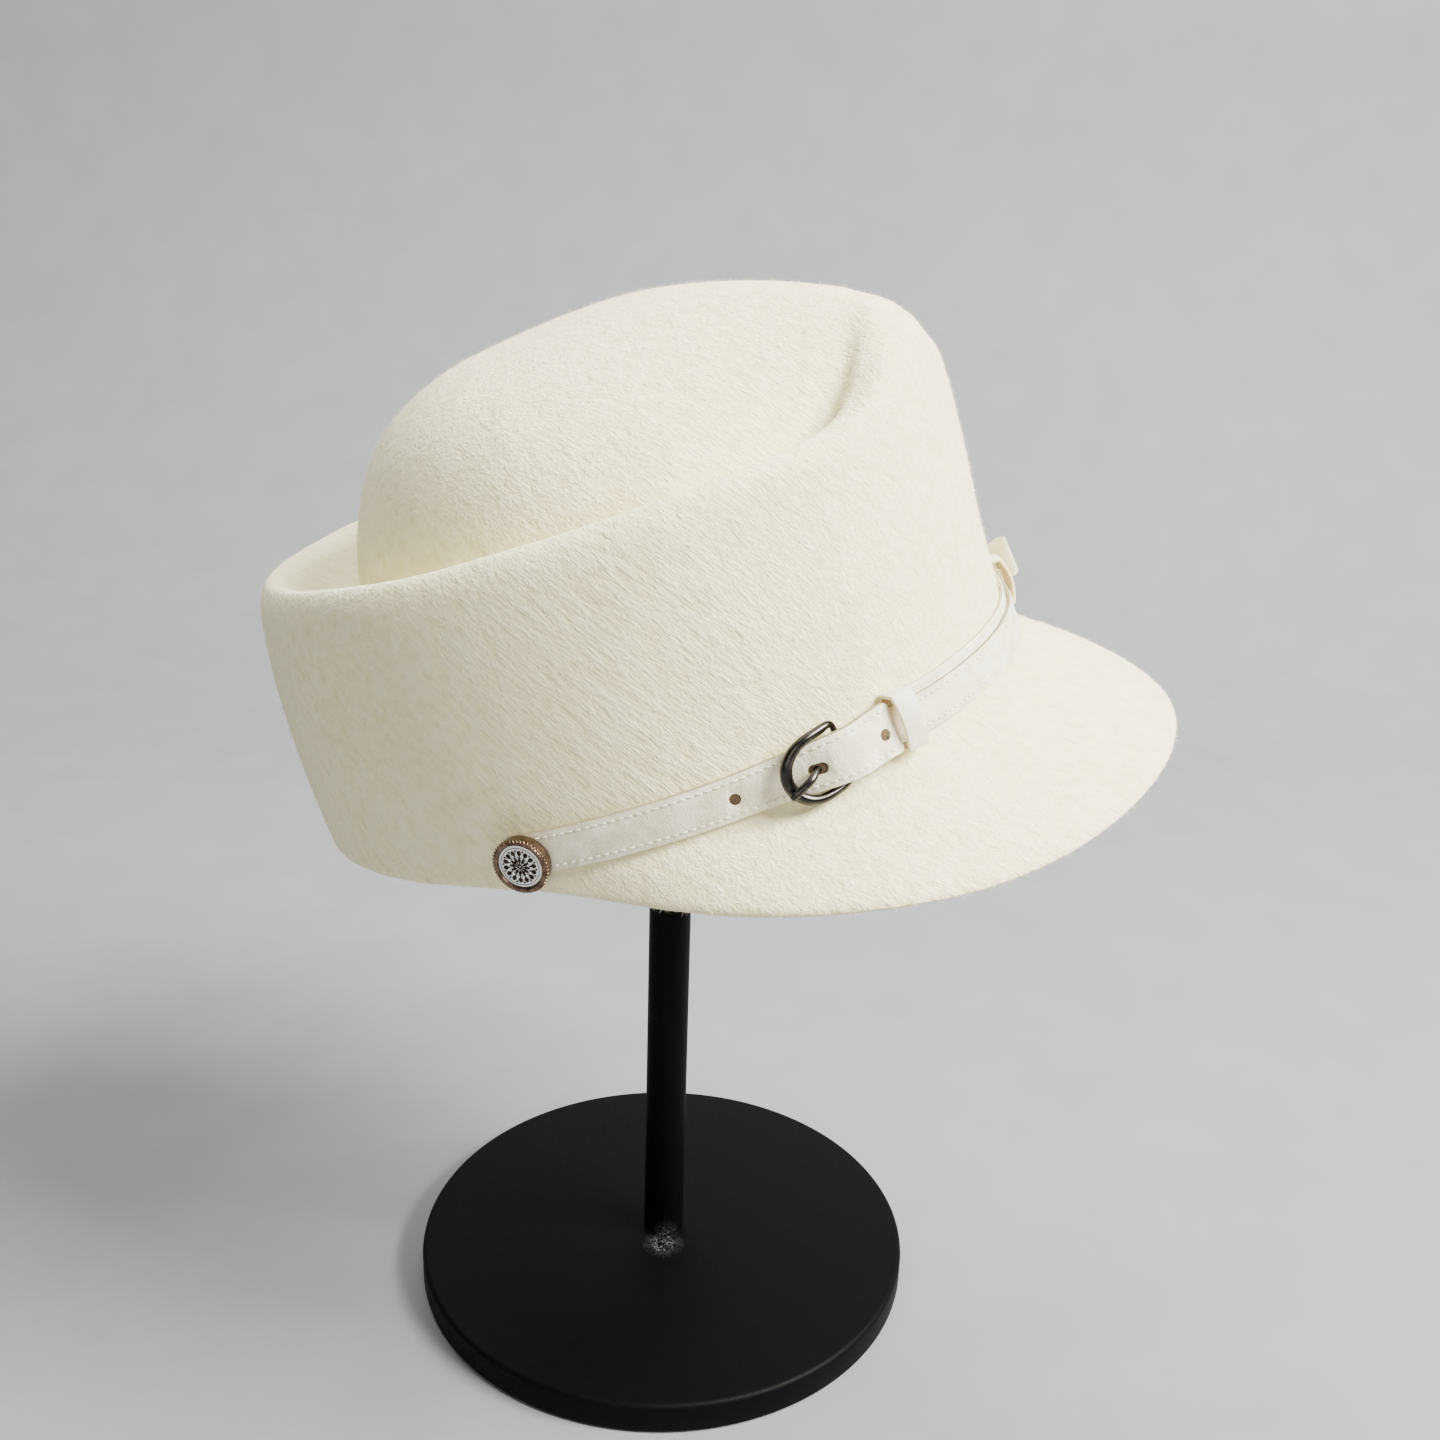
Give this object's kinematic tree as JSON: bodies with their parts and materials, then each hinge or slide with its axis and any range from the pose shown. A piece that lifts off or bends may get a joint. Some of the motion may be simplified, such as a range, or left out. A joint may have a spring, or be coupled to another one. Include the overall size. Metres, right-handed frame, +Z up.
{
  "type": "equestrian felt hat on a display stand",
  "caption": "Riding-style felt hat with a rolled crown rim, domed top and short visor, banded by a buckled strap with side buttons, resting on a plain round-based stand.",
  "frame": {"origin": "middle of the underside of the stand's round base, on the surface it stands on", "axes": "+Z up; the wearer would look along -Y, and the wearer's right side is at -X"},
  "size_m": [0.1933, 0.2506, 0.319],
  "materials": {
    "felt": "brushed ivory wool felt",
    "suede": "off-white suede",
    "gunmetal": "polished dark gunmetal plating",
    "antique_brass": "antiqued, satin",
    "enamel": "glossy white enamel",
    "black_steel": "satin black powder coat"
  },
  "bodies": {
    "root": {"felt_body": "felt", "strap_front": "suede", "strap_backing": "suede", "stand_base": "black_steel", "stand_pole": "black_steel", "strap_right": "suede", "keeper_right": "suede", "buckle_frame_right": "gunmetal", "buckle_prong_right": "gunmetal", "button_rim_right": "antique_brass", "button_face_right": "enamel", "strap_left": "suede", "keeper_left": "suede", "buckle_frame_left": "gunmetal", "buckle_prong_left": "gunmetal", "button_rim_left": "antique_brass", "button_face_left": "enamel"}
  },
  "joints": []
}
